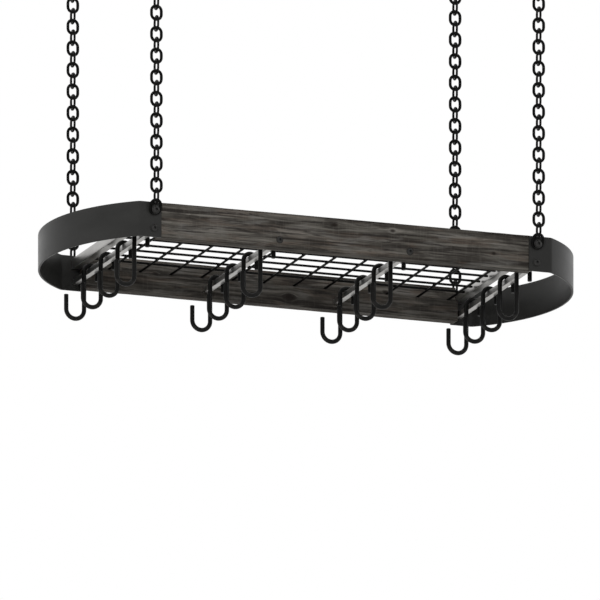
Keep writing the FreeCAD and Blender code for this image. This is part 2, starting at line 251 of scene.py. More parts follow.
def weathered_wood():
    """Grey-brown wood: streaks along the fibre, with thin coats of colour laid over them in turn.

    A coat has a pattern, the values at which it starts and is full, how much it covers, and a colour.
    """
    material, tree, shader = new_material("weathered_wood")
    fibre = add_node(tree, "ShaderNodeAttribute", {}, attribute_name="fibre").outputs["Vector"]
    knot = add_node(tree, "ShaderNodeAttribute", {}, attribute_name="knot").outputs["Fac"]
    # Mask of the darkening along the edges: partly wear, partly painted shade
    edge_wear_and_shade = add_node(tree, "ShaderNodeAttribute", {}, attribute_name="edge_wear_and_shade").outputs["Fac"]
    streaks = noise(tree, fibre, (5, 125, 125), 4, 0.55, 0.4)
    threads = noise(tree, fibre, (22, 560, 560), 4, 0.62)
    patches = noise(tree, fibre, (12, 36, 36), 3, 0.55, 0.5)
    tints = noise(tree, fibre, (8, 60, 60), 3, 0.55, 0.8)
    stains = noise(tree, fibre, (8, 85, 85), 4, 0.6, 0.9)
    grain = noise(tree, fibre, (9, 280, 280), 3, 0.6, 0.3)
    cracks = noise(tree, fibre, (9, 420, 420), 3, 0.5, 0.2)
    saw_marks = noise(tree, fibre, (330, 22, 22), 2, 0.5)
    pith = add_node(tree, "ShaderNodeMapping", {"Vector": fibre, "Location": (0, 0.64, 0.05),
                                                "Scale": (0.12, 1, 1)})
    waves = {"Vector": pith.outputs[0], "Scale": 40.0, "Distortion": 9.0, "Detail": 4.0,
             "Detail Scale": 0.5, "Detail Roughness": 0.65}
    rings = add_node(tree, "ShaderNodeTexWave", waves, wave_type="RINGS", rings_direction="X",
                     wave_profile="SAW").outputs["Fac"]
    colour = colour_ramp(tree, streaks, [
        (0.34, paint(44, 41, 38)),
        (0.46, paint(76, 73, 68)),
        (0.56, paint(93, 90, 85)),
        (0.70, paint(116, 112, 106)),
    ])
    coats = (
        (rings, 0.45, 1.0, 0.25, paint(50, 46, 42)),
        (tints, 0.50, 0.64, 0.50, paint(88, 76, 67)),
        (patches, 0.53, 0.64, 0.55, paint(102, 100, 97)),
        (patches, 0.48, 0.36, 0.60, paint(46, 43, 40)),
        (stains, 0.56, 0.65, 0.80, paint(34, 31, 29)),
        (grain, 0.48, 0.36, 0.80, paint(34, 31, 29)),
        (threads, 0.50, 0.32, 0.45, paint(38, 35, 33)),
        (saw_marks, 0.56, 0.74, 0.14, paint(112, 108, 102)),
        (cracks, 0.34, 0.27, 0.85, paint(22, 20, 19)),
        (knot, 0.1, 0.8, 0.88, paint(30, 25, 22)),
        # Dark along every long edge: partly handling wear, partly painted shade, and only painted shade
        # in the rabbet's inside corner
        (edge_wear_and_shade, 0.2, 1.0, 0.60, paint(26, 24, 22)),
    )
    for pattern, start, full, cover, coat in coats:
        colour = blend_colours(tree, spread(tree, pattern, start, full, 0.0, cover), colour, coat)
    tree.links.new(colour, shader.inputs["Base Color"])
    tree.links.new(spread(tree, streaks, 0.3, 0.7, 0.85, 0.68), shader.inputs["Roughness"])
    shader.inputs["Specular IOR Level"].default_value = 0.12
    height = add_node(tree, "ShaderNodeMath", {0: streaks, 1: threads}, operation="ADD").outputs[0]
    bump = add_node(tree, "ShaderNodeBump", {"Height": height, "Strength": 0.5, "Distance": 0.0006})
    tree.links.new(bump.outputs[0], shader.inputs["Normal"])
    return material


def board_piece(node, knots, seed, material):
    """A plank: its rabbeted outline carried along X, with the surface let down by a relief.

    relief = ridges + hollows - cracks - dishes, cut off level where the plane took the top. The
    first three are drift() over place along the board and distance round its outline, and a dish is
    exp(-(distance from the knot / its radius)^2). At the ends a quarter circle,
    arris - sqrt(arris^2 - (arris - d)^2), rounds the edge at distance d.
    Fibre lines run round a knot as water runs round a post: across - dz r^2 / d^2.
    """
    low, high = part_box(node)
    side = 1 if low.y > 0 else -1
    outer = max(abs(low.y), abs(high.y))
    inner = min(abs(low.y), abs(high.y))
    wall = outer - rabbet_depth
    ledge = high.z - rabbet_height
    corners = np.array([
        (side * inner, low.z),
        (side * outer, low.z),
        (side * outer, high.z),
        (side * wall, high.z),
        (side * wall, ledge),
        (side * inner, ledge),
    ])
    loop = rounded_loop(corners, board_arris, board_loop_step)
    tangent = np.roll(loop, -1, axis=0) - np.roll(loop, 1, axis=0)
    outward = side * np.stack([tangent[:, 1], -tangent[:, 0]], axis=1)
    outward /= np.linalg.norm(outward, axis=1)[:, None]
    around = np.concatenate([[0], np.cumsum(np.linalg.norm(np.diff(loop, axis=0), axis=1))])

    end_steps = np.linspace(0, board_arris, end_rows)
    count = round((high.x - low.x) / board_row_step)
    middle = np.linspace(low.x + board_arris, high.x - board_arris, count)[1:-1]
    along = np.concatenate([low.x + end_steps, middle, high.x - end_steps[::-1]])

    x, s = np.meshgrid(along, around, indexing="ij")
    z = np.broadcast_to(loop[:, 1], x.shape)
    ridges = ridge_height * drift(x, s, fine_ridges, seed)
    ridges += ridge_height * drift(x, s, broad_ridges, seed + 1)
    hollows = hollow_height * drift(x, s, hollow_waves, seed + 2)
    cracks = crack_depth * np.clip((drift(x, s, crack_waves, seed + 3) - crack_start) / crack_fade, 0, 1)
    dishes = np.zeros_like(x)
    for place, height, radius in knots:
        reach = np.hypot((x - place) / knot_stretch, z - low.z - height) / radius
        dishes += knot_dish * np.exp(-reach ** 2)
    relief = ridges + hollows - cracks - dishes
    relief = np.minimum(relief - np.quantile(relief, planed_share), 0)
    from_end = np.minimum(x - low.x, high.x - x)
    short = np.clip(board_arris - from_end, 0, board_arris)
    relief -= board_arris - np.sqrt(board_arris ** 2 - short ** 2)

    profile = loop[None, :, :] + relief[:, :, None] * outward[None, :, :]
    rings = np.concatenate([x[:, :, None], profile], axis=2)
    heart = np.array([0, side * (outer + wall) / 2, (low.z + ledge) / 2])
    poles = heart + np.array([[low.x, 0, 0], [high.x, 0, 0]])
    rings = np.concatenate([
        poles[:1] + end_inset * (rings[:1] - poles[:1]),
        rings,
        poles[1:] + end_inset * (rings[-1:] - poles[1:]),
    ])
    vertices, quads, fans = skin(rings, poles)

    fibre = vertices - np.array([0, 0, low.z])
    knot = np.zeros(len(vertices))
    rise = np.zeros(len(vertices))
    for place, height, radius in knots:
        dx = (fibre[:, 0] - place) / knot_stretch
        dz = fibre[:, 2] - height
        gap = np.maximum(np.hypot(dx, dz), radius)
        rise += dz * (radius / gap) ** 2
        knot = np.maximum(knot, np.clip(knot_edge - np.hypot(dx, dz) / radius, 0, 1))
    fibre = np.stack([fibre[:, 0] + seed, fibre[:, 2] - rise, fibre[:, 1]], axis=1)
    # Distance to the nearest corner of the outline, convex or inside the rabbet, for the darkening along
    # the edges: partly wear, partly painted shade
    arris_gap = np.min(np.linalg.norm(vertices[:, None, 1:] - corners[None], axis=2), axis=1)
    patchy = edge_dark_mean + edge_dark_swing * drift(vertices[:, 0], vertices[:, 2], edge_dark_waves, seed + 4)
    edge_wear_and_shade = np.exp(-(arris_gap / edge_dark_reach) ** 2) * patchy
    add_piece(node + "_wood", [(vertices, quads, fans)], material, "rack", [node],
              {"fibre": fibre, "knot": knot, "edge_wear_and_shade": edge_wear_and_shade})


wood = weathered_wood()
board_piece("board_near", near_knots, near_seed, wood)
board_piece("board_far", far_knots, far_seed, wood)


# Cross bars and end rails: square and flat bars of cold-drawn steel with a satin face.
# Sawn to length, with small rounded arrises, and tapped at both ends for the bolts.
# The outer bars and the rails run from tab to tab of the bands, the inner bars from board to board.
cross_bars = 4
bar_arris = 0.0011
bar_step = 0.0045
bar_row_step = 0.02
cut_chamfer = 0.0007


def rectangle(half_width, half_height):
    """The four corners of a rectangle about the origin."""
    return np.array([(-1, -1), (1, -1), (1, 1), (-1, 1)]) * (half_width, half_height)


def carry(profile, path, normal, scale):
    """Rings of a profile carried along a path that lies in one plane.

    A profile point (p, q) at path point c goes to c + scale (p side + q normal), where side is
    the path's direction crossed with the plane's normal.
    """
    path = np.asarray(path, float)
    normal = np.asarray(normal, float)
    side = np.cross(np.gradient(path, axis=0), normal)
    side /= np.linalg.norm(side, axis=1)[:, None]
    sideways = profile[None, :, 0, None] * side[:, None, :]
    upward = profile[None, :, 1, None] * normal[None, None, :]
    return path[:, None, :] + scale[:, None, None] * (sideways + upward)


def chamfered_run(low, high, step, chamfer):
    """Places from low to high, doubled at both ends where the cut edge is broken."""
    count = max(2, round((high - low) / step))
    inner = np.linspace(low + chamfer, high - chamfer, count)
    return np.concatenate([[low], inner, [high]])


def satin_steel():
    """Drawn steel: fine lines along the bar and a few dull clouds, softly mirroring."""
    material, tree, shader = new_material("satin_steel")
    place = add_node(tree, "ShaderNodeTexCoord", {}).outputs["Object"]
    lines = noise(tree, place, (900, 12, 900), 4, 0.6)
    clouds = noise(tree, place, (40, 14, 40), 3, 0.55)
    colour = colour_ramp(tree, clouds, [
        (0.30, paint(154, 153, 151)),
        (0.55, paint(170, 169, 167)),
        (0.75, paint(184, 183, 180)),
    ])
    lined = blend_colours(tree, spread(tree, lines, 0.35, 0.7, 0.0, 0.4), colour, paint(194, 193, 190))
    tree.links.new(lined, shader.inputs["Base Color"])
    tree.links.new(spread(tree, lines, 0.3, 0.7, 0.28, 0.40), shader.inputs["Roughness"])
    shader.inputs["Metallic"].default_value = 1.0
    bump = add_node(tree, "ShaderNodeBump", {"Height": lines, "Strength": 0.15, "Distance": 0.0002})
    tree.links.new(bump.outputs[0], shader.inputs["Normal"])
    return material


def bar_piece(node, material):
    """A rectangle with rounded corners, carried along Y between the ends that the frame gives."""
    low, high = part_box(node)
    half_width = (high.x - low.x) / 2
    half_height = (high.z - low.z) / 2
    profile = rounded_loop(rectangle(half_width, half_height), bar_arris, bar_step)
    places = chamfered_run(low.y, high.y, bar_row_step, cut_chamfer)
    centre = (low + high) / 2
    path = np.stack([np.full_like(places, centre.x), places, np.full_like(places, centre.z)], axis=1)
    scale = np.ones(len(places))
    scale[[0, -1]] = 1 - cut_chamfer / half_width
    rings = carry(profile, path, (0, 0, 1), scale)
    add_piece(node + "_steel", [skin(rings, path[[0, -1]])], material, "rack", [node])


drawn_steel = satin_steel()
bars = [f"cross_bar_{number}" for number in range(1, cross_bars + 1)]
for bar in bars + ["end_rail_left", "end_rail_right"]:
    bar_piece(bar, drawn_steel)


# End bands: flat steel, 4 mm thick and as high as the boards, rolled to a bow.
# The two ends are bent round to flat tabs, drilled, and bolted to the ends of rails and bars.
# Charcoal powder coat, duller in some places than in others.
band_thickness = 0.004
band_tab = 0.044025
band_edge = 0.0009
band_bend = 0.012
band_step = 0.006
band_bow_rows = 140
band_bend_rows = 8


def charcoal_coat():
    """Powder coat: near-black, with fine orange peel, dull clouds and a faint bloom of dust."""
    material, tree, shader = new_material("charcoal_coat")
    place = add_node(tree, "ShaderNodeTexCoord", {}).outputs["Object"]
    peel = noise(tree, place, (700, 700, 700), 2, 0.5)
    clouds = noise(tree, place, (9, 9, 22), 4, 0.55)
    specks = noise(tree, place, (260, 260, 260), 5, 0.7)
    colour = colour_ramp(tree, clouds, [
        (0.30, paint(35, 35, 34)),
        (0.70, paint(42, 42, 41)),
    ])
    dusted = blend_colours(tree, spread(tree, specks, 0.62, 0.74, 0.0, 0.25), colour, paint(64, 63, 61))
    tree.links.new(dusted, shader.inputs["Base Color"])
    tree.links.new(spread(tree, clouds, 0.3, 0.7, 0.32, 0.42), shader.inputs["Roughness"])
    shader.inputs["Specular IOR Level"].default_value = 0.16
    bump = add_node(tree, "ShaderNodeBump", {"Height": peel, "Strength": 0.12, "Distance": 0.0002})
    tree.links.new(bump.outputs[0], shader.inputs["Normal"])
    return material


def band_piece(node, material):
    """A flat strip carried along tab, bend, bow, bend and tab, in a level plane.

    A bend of radius b starts at the end of the tab and touches the bow from inside, so the bow,
    which stands d beyond the tab, has R = (d^2 + (tab - b)^2 - b^2) / (2 (d - b)).
    """
    low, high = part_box(node)
    end = 1 if high.x > -low.x else -1
    half = band_thickness / 2
    tab_y = high.y - half
    tab_x = min(abs(low.x), abs(high.x))
    crown = max(abs(low.x), abs(high.x)) - half
    bend_x = tab_x + band_tab
    bend_y = tab_y - band_bend
    bulge = crown - bend_x
    bow = (bulge ** 2 + bend_y ** 2 - band_bend ** 2) / (2 * (bulge - band_bend))
    centre = crown - bow
    turn = math.atan2(bend_y, bend_x - centre)

    bend_angles = np.linspace(math.pi / 2, turn, band_bend_rows)
    bow_angles = np.linspace(turn, -turn, band_bow_rows)[1:-1]
    tab = chamfered_run(tab_x, bend_x, band_step, band_edge)[:-1]
    tab_line = np.stack([tab, np.full_like(tab, tab_y)], axis=1)
    bend_line = np.stack([bend_x + band_bend * np.cos(bend_angles),
                          bend_y + band_bend * np.sin(bend_angles)], axis=1)
    bow_line = np.stack([centre + bow * np.cos(bow_angles), bow * np.sin(bow_angles)], axis=1)
    flat = np.concatenate([tab_line, bend_line, bow_line,
                           bend_line[::-1] * (1, -1), tab_line[::-1] * (1, -1)])
    middle_z = (low.z + high.z) / 2
    path = np.stack([end * flat[:, 0], flat[:, 1], np.full(len(flat), middle_z)], axis=1)
    profile = rounded_loop(rectangle(half, (high.z - low.z) / 2), band_edge, band_step)
    scale = np.ones(len(path))
    scale[[0, -1]] = 1 - band_edge / (high.z - low.z)
    rings = carry(profile, path, (0, 0, 1), scale)
    add_piece(node + "_steel", [skin(rings, path[[0, -1]])], material, "rack", [node])


band_coat = charcoal_coat()
band_piece("end_band_left", band_coat)
band_piece("end_band_right", band_coat)


# Bolts and washers: button-head socket bolts, black oxide, turned and cold headed.
# The upper four hold the chains and the end rails, the lower eight hold the cross bars.
# Washers stand under the heads at the bands, and the middle heads stand on the wood.
bolt_radius = 0.004
head_radius = 0.0075
head_height = 0.0044
head_rim = 0.0009
head_flat = 0.004
dome_rows = 9
socket_flats = 0.005
socket_depth = 0.0028
socket_lip = 0.0003
thread_reach = 0.018
broken_edge = 0.0003
bolt_around = 36
washer_hole = 0.00425
washer_thickness = 0.0016
bolt_sides = [(end, side) for end in (-1, 1) for side in (-1, 1)]


def black_oxide():
    """Blackened steel: black with a faint brown mottle, and painted shade inside the sockets."""
    material, tree, shader = new_material("black_oxide")
    place = add_node(tree, "ShaderNodeTexCoord", {}).outputs["Object"]
    painted_socket_shade = add_node(tree, "ShaderNodeAttribute", {}, attribute_name="painted_socket_shade").outputs["Fac"]
    mottle = noise(tree, place, (420, 420, 420), 4, 0.6)
    colour = colour_ramp(tree, mottle, [
        (0.35, paint(26, 26, 25)),
        (0.60, paint(34, 33, 32)),
        (0.75, paint(46, 44, 42)),
    ])
    # Painted shade: the inside of the socket is painted near black to stand for its shade
    socket_shaded = blend_colours(tree, painted_socket_shade, colour, paint(3, 3, 3))
    tree.links.new(socket_shaded, shader.inputs["Base Color"])
    tree.links.new(spread(tree, mottle, 0.3, 0.7, 0.36, 0.50), shader.inputs["Roughness"])
    shader.inputs["Metallic"].default_value = 0.4
    return material


def outward_turned(radii, heights, x, z, side, seat):
    """Rings of a turned form whose axis points out of the rack, at (x, z), from a seat in Y.

    Row i, angle a: (x + r cos a, side (seat + h), z + r sin a), where r may change with a.
    """
    angle = np.linspace(0, 2 * math.pi, radii.shape[1], endpoint=False)
    across = np.broadcast_to(side * (seat + heights[:, None]), radii.shape)
    return np.stack([x + radii * np.cos(angle), across, z + radii * np.sin(angle)], axis=2)


def button_bolt(x, z, side, seat, shank):
    """A shank, a domed head and a hexagon socket.

    The dome is the circle through the rim's top and the edge of the flat. The socket's radius
    is that of a hexagon, half its flats / cos(angle from the middle of a flat). The second result,
    the mask of painted shade, is 1 inside the socket and 0 elsewhere.
    """
    angle = np.linspace(0, 2 * math.pi, bolt_around, endpoint=False)
    sixth = math.pi / 3
    hexagon = socket_flats / 2 / np.cos((angle + sixth / 2) % sixth - sixth / 2)
    rise = head_radius ** 2 - head_flat ** 2 + head_rim ** 2 - head_height ** 2
    dome_z = rise / (2 * (head_rim - head_height))
    dome = math.hypot(head_radius, head_rim - dome_z)
    dome_angles = np.linspace(math.atan2(head_rim - dome_z, head_radius),
                              math.atan2(head_height - dome_z, head_flat), dome_rows)
    tip_chamfer = bolt_radius / 4
    round_rows = np.array([
        (bolt_radius - tip_chamfer, -shank),
        (bolt_radius, -shank + tip_chamfer),
        (bolt_radius, 0),
        (head_radius - broken_edge, 0),
        (head_radius, broken_edge),
        *zip(dome * np.cos(dome_angles), dome_z + dome * np.sin(dome_angles)),
    ])
    round_radii = np.repeat(round_rows[:, :1], bolt_around, axis=1)
    lip_heights = np.array([head_height, head_height - socket_lip, head_height - socket_depth])
    lip_radii = np.stack([hexagon + socket_lip, hexagon, hexagon])
    radii = np.concatenate([round_radii, lip_radii])
    heights = np.concatenate([round_rows[:, 1], lip_heights])
    rings = outward_turned(radii, heights, x, z, side, seat)
    poles = [(x, side * (seat - shank), z), (x, side * (seat + lip_heights[-1]), z)]
    # Mask of painted shade: 1 on the socket's walls and floor
    socket_rows = len(lip_heights) - 1
    painted_socket_shade = np.zeros(len(rings) * bolt_around + len(poles))
    painted_socket_shade[-socket_rows * bolt_around - len(poles):-len(poles)] = 1
    painted_socket_shade[-1] = 1
    return skin(rings, poles), painted_socket_shade


def flat_washer(x, z, side, seat, radius):
    """A disc with a hole: its section is a rectangle with broken corners, turned round the bolt."""
    edge = broken_edge
    hole = washer_hole
    top = washer_thickness
    section = np.array([
        (hole, edge), (hole + edge, 0), (radius - edge, 0), (radius, edge),
        (radius, top - edge), (radius - edge, top), (hole + edge, top), (hole, top - edge),
    ])
    radii = np.repeat(section[:, :1], bolt_around, axis=1)
    return skin(outward_turned(radii, section[:, 1], x, z, side, seat))


oxide = black_oxide()
rail_x = (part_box("end_rail_right")[0].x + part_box("end_rail_right")[1].x) / 2
inner_bar_x = (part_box("cross_bar_3")[0].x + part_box("cross_bar_3")[1].x) / 2
bolt_groups = {
    "upper_bolts": rail_x,
    "end_bolts": rail_x,
    "middle_bolts": inner_bar_x,
}
shank_ends = {
    "upper_bolts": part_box("end_rail_right")[1].y,
    "end_bolts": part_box("cross_bar_1")[1].y,
    "middle_bolts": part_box("cross_bar_2")[1].y,
}
for group, bolt_x in bolt_groups.items():
    low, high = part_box(group)
    seat = high.y - head_height
    shank = seat - shank_ends[group] + thread_reach
    bolt_z = (low.z + high.z) / 2
    bolts = [button_bolt(end * bolt_x, bolt_z, side, seat, shank) for end, side in bolt_sides]
    skins, painted_socket_shades = zip(*bolts)
    add_piece(group + "_black", skins, oxide, "rack", [group],
              {"painted_socket_shade": np.concatenate(painted_socket_shades)})

for group in ("upper_washers", "end_washers"):
    low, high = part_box(group)
    radius = (high.z - low.z) / 2
    washer_z = (low.z + high.z) / 2
    seat = high.y - washer_thickness
    skins = [flat_washer(end * rail_x, washer_z, side, seat, radius) for end, side in bolt_sides]
    add_piece(group + "_black", skins, oxide, "rack", [group])


# Shelf: a grid of straight wires, cross wires below and long wires above.
# Resistance welded where they cross, so each crossing has a small squeezed collar of metal.
# It lies loose on the ledges of the rabbets. Black coated.
shelf_wire = 0.005
cross_wires = 12
cross_pitch = 0.0693
cross_shift = 0.020
long_wires = 8
long_pitch = 0.048
wire_around = 14
wire_row_step = 0.03
wire_tip = 0.0006
weld_width = 0.0034
weld_height = 0.0019
weld_rows = 5
weld_around = 10
weld_reach = 0.4


def black_wire_coat():
    """Black dipped wire: dark, half glossy, thinner and greyer in small clouds."""
    material, tree, shader = new_material("black_wire_coat")
    place = add_node(tree, "ShaderNodeTexCoord", {}).outputs["Object"]
    clouds = noise(tree, place, (90, 90, 90), 4, 0.6)
    colour = colour_ramp(tree, clouds, [
        (0.35, paint(4, 4, 4)),
        (0.70, paint(9, 9, 8)),
    ])
    tree.links.new(colour, shader.inputs["Base Color"])
    tree.links.new(spread(tree, clouds, 0.3, 0.7, 0.40, 0.55), shader.inputs["Roughness"])
    shader.inputs["Specular IOR Level"].default_value = 0.05
    return material


def round_profile(radius, around):
    """Points on a circle."""
    angle = np.linspace(0, 2 * math.pi, around, endpoint=False)
    return radius * np.stack([np.cos(angle), np.sin(angle)], axis=1)


def straight_wire(start, end):
    """A round wire from start to end, with broken edges at both cuts."""
    start, end = np.array(start), np.array(end)
    length = np.linalg.norm(end - start)
    share = chamfered_run(0, length, wire_row_step, wire_tip) / length
    path = start + share[:, None] * (end - start)
    scale = np.ones(len(path))
    scale[[0, -1]] = 1 - 2 * wire_tip / shelf_wire
    return skin(carry(round_profile(shelf_wire / 2, wire_around), path, (0, 0, 1), scale), path[[0, -1]])


def weld_collar(x, y, z):
    """A flattened ball: radius times cos and sin of the latitude, in a few rows."""
    latitude = np.linspace(-weld_reach, weld_reach, weld_rows) * math.pi
    ring = round_profile(weld_width, weld_around)
    level = np.cos(latitude)[:, None, None] * ring[None]
    height = z + weld_height * np.sin(latitude)[:, None, None]
    height = np.broadcast_to(height, (weld_rows, weld_around, 1))
    rings = np.concatenate([level + (x, y), height], axis=2)
    return skin(rings, [(x, y, z - weld_height), (x, y, z + weld_height)])


low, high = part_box("shelf_grid")
cross_z = low.z + shelf_wire / 2
long_z = high.z - shelf_wire / 2
cross_places = cross_shift + (np.arange(cross_wires) - (cross_wires - 1) / 2) * cross_pitch
long_places = (np.arange(long_wires) - (long_wires - 1) / 2) * long_pitch
skins = [straight_wire((x, low.y, cross_z), (x, high.y, cross_z)) for x in cross_places]
skins += [straight_wire((low.x, y, long_z), (high.x, y, long_z)) for y in long_places]
skins += [weld_collar(x, y, (cross_z + long_z) / 2) for x in cross_places for y in long_places]
add_piece("shelf_grid_wires", skins, black_wire_coat(), "shelf", ["shelf_grid"])


# Chains: oval wire bent to links and butt welded, each hung in the one above.
# The last link of each goes over an upper bolt and leans out to clear the band's top edge.
# Black finish, rubbed a little brighter at the bows where links bear on each other.
chain_pitch = 0.0235
link_width = 0.0282
link_wire_width = 0.0062
link_wire_thickness = 0.0044
link_gap = 0.0002
straight_links = 28
running_gap = 0.0003
link_around = 14
link_bow_rows = 15
link_leg_rows = 5
link_fullness = 0.8
weld_swell = 0.05
weld_side = 0.7
rub_power = 6
link_inner_length = chain_pitch + link_gap
bow_spacing = link_inner_length + link_wire_width
half_link = bow_spacing / 2 + link_wire_width / 2


def chain_black():
    """Black chain: dark coat with brighter rubbed bows."""
    material, tree, shader = new_material("chain_black")
    place = add_node(tree, "ShaderNodeTexCoord", {}).outputs["Object"]
    rub = add_node(tree, "ShaderNodeAttribute", {}, attribute_name="rub").outputs["Fac"]
    mottle = noise(tree, place, (240, 240, 240), 4, 0.6)
    colour = colour_ramp(tree, mottle, [
        (0.35, paint(4, 4, 4)),
        (0.70, paint(9, 9, 8)),
    ])
    rubbed = blend_colours(tree, spread(tree, rub, 0.3, 1.0, 0.0, 0.4), colour, paint(46, 45, 44))
    tree.links.new(rubbed, shader.inputs["Base Color"])
    tree.links.new(spread(tree, mottle, 0.3, 0.7, 0.36, 0.50), shader.inputs["Roughness"])
    shader.inputs["Specular IOR Level"].default_value = 0.07
    return material


def oval_loop(half_width, half_height):
    """Closed outline of two half circles and two straight legs, from the top of the right leg."""
    bow_z = half_height - half_width
    turn = np.linspace(0, math.pi, link_bow_rows)
    leg = np.linspace(bow_z, -bow_z, link_leg_rows)[1:-1]
    top = np.stack([half_width * np.cos(turn), bow_z + half_width * np.sin(turn)], axis=1)
    left = np.stack([np.full_like(leg, -half_width), leg], axis=1)
    return np.concatenate([top, left, -top, -left])


def link_rings():
    """One upright link: a fat oval section carried between an inner and an outer outline.

    With m the middle and h half the way from inner to outer point, a section point at angle a is
    m + h c(a) in the plane and t s(a) square to it, where c and s are cos and sin with their
    sizes raised to the fullness, t is half the thickness, and the section swells by
    1 + swell exp(-(z / wire)^2) where one leg is welded. The second result is the rub,
    (|z| / half the way between bows)^power.
    """
    outer = oval_loop(link_width / 2, link_inner_length / 2 + link_wire_width)
    inner = oval_loop(link_width / 2 - link_wire_width, link_inner_length / 2)
    middle = (outer + inner) / 2
    reach = (outer - inner) / 2
    angle = np.linspace(0, 2 * math.pi, link_around, endpoint=False)
    across = np.sign(np.cos(angle)) * np.abs(np.cos(angle)) ** link_fullness
    through = np.sign(np.sin(angle)) * np.abs(np.sin(angle)) ** link_fullness
    welded = np.exp(-(middle[:, 1] / link_wire_width) ** 2) * (middle[:, 0] > weld_side * link_width / 2)
    swell = (1 + weld_swell * welded)[:, None]
    flat = middle[:, None, :] + (swell * across)[:, :, None] * reach[:, None, :]
    depth = swell * through * link_wire_thickness / 2
    rings = np.stack([flat[:, :, 0], depth, flat[:, :, 1]], axis=2)
    nearness = np.clip(np.abs(middle[:, 1]) / (bow_spacing / 2), 0, 1)
    rub = np.repeat(nearness ** rub_power, link_around)
    return rings, rub


def chain_piece(corner, material):
    """Links from the ceiling hook down, every second one turned square, and a last one that leans."""
    node = "chain_" + corner
    low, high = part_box(node)
    x = (low.x + high.x) / 2
    side = 1 if high.y > 0 else -1
    chain_y = max(abs(low.y), abs(high.y)) - link_width / 2
    upright, rub = link_rings()
    square = upright[:, :, [1, 0, 2]]
    skins = []
    for index in range(straight_links):
        middle = (x, side * chain_y, high.z - half_link - index * chain_pitch)
        skins.append(skin((square if index % 2 else upright) + middle))
    bolt_low, bolt_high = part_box("upper_bolts")
    bolt_z = (bolt_low.z + bolt_high.z) / 2
    foot_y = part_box("end_band_left")[1].y + link_wire_thickness / 2 + running_gap
    foot_z = bolt_z - bolt_radius - link_wire_width / 2 - link_gap
    lean = math.asin((chain_y - foot_y) / bow_spacing)
    tilt = np.array([
        [1, 0, 0],
        [0, math.cos(lean), side * math.sin(lean)],
        [0, -side * math.sin(lean), math.cos(lean)],
    ])
    middle = (x, side * foot_y, foot_z) + tilt @ (0, 0, bow_spacing / 2)
    skins.append(skin(upright @ tilt.T + middle))
    add_piece(node + "_links", skins, material, node, [node],
              {"rub": np.tile(rub, len(skins))})


chain_finish = chain_black()
corners = ("near_left", "near_right", "far_left", "far_right")
for corner in corners:
    chain_piece(corner, chain_finish)


# Ceiling hooks: round rod bent to a hook, with a pressed collar and a pointed wood screw.
# The screw is rolled, and the collar stops it against the ceiling.
# Same black finish as the chains.
screw_rod = 0.006
screw_bend = 0.012
neck_bend = 0.006
hook_seat = 0.006
neck_length = 0.008
tip_angle = math.radians(150)
collar_radius = 0.009
collar_thickness = 0.0025
screw_point = 0.009
screw_tip = 0.0005
thread_pitch = 0.0024
thread_depth = 0.0007
thread_rows = 14
screw_around = 24
rod_step = math.radians(8)
end_shares = (0, 0.06, 0.2, 0.45, 1.0)


def swing(centre, radius, start, end):
    """Points of an arc about a centre, from a start angle to an end angle, in equal small turns."""
    count = max(3, round(abs(end - start) / rod_step) + 1)
    angle = np.linspace(start, end, count)
    return np.asarray(centre) + radius * np.stack([np.cos(angle), np.sin(angle)], axis=1)


def dome_scale(path, radius, rounding, first, last):
    """Scale of a round rod along its path: at a cut end it falls to round the edge.

    At distance d from the end, 1 - (rounding / radius) (1 - sqrt(1 - (1 - d / rounding)^2)).
    """
    run = np.concatenate([[0], np.cumsum(np.linalg.norm(np.diff(path, axis=0), axis=1))])
    scale = np.ones(len(path))
    for wanted, distance in ((first, run), (last, run[-1] - run)):
        if wanted:
            short = np.clip(1 - distance / rounding, 0, 1)
            scale -= rounding / radius * (1 - np.sqrt(1 - short ** 2))
    return scale


def finer_ends(path, rounding):
    """A path with extra points close to both ends, where the edges are rounded."""
    share = np.array(end_shares)[:, None] * rounding
    first = (path[1] - path[0]) / np.linalg.norm(path[1] - path[0])
    last = (path[-2] - path[-1]) / np.linalg.norm(path[-2] - path[-1])
    return np.concatenate([path[0] + share * first, path[1:-1], path[-1] + share[::-1] * last])


def upright_turned(radii, heights, x, y):
    """Rings of a turned form on an upright axis at (x, y).

    Row i, angle a: (x + r cos a, y + r sin a, h), where r may change with a.
    """
    angle = np.linspace(0, 2 * math.pi, radii.shape[1], endpoint=False)
    level = np.broadcast_to(heights[:, None], radii.shape)
    return np.stack([x + radii * np.cos(angle), y + radii * np.sin(angle), level], axis=2)


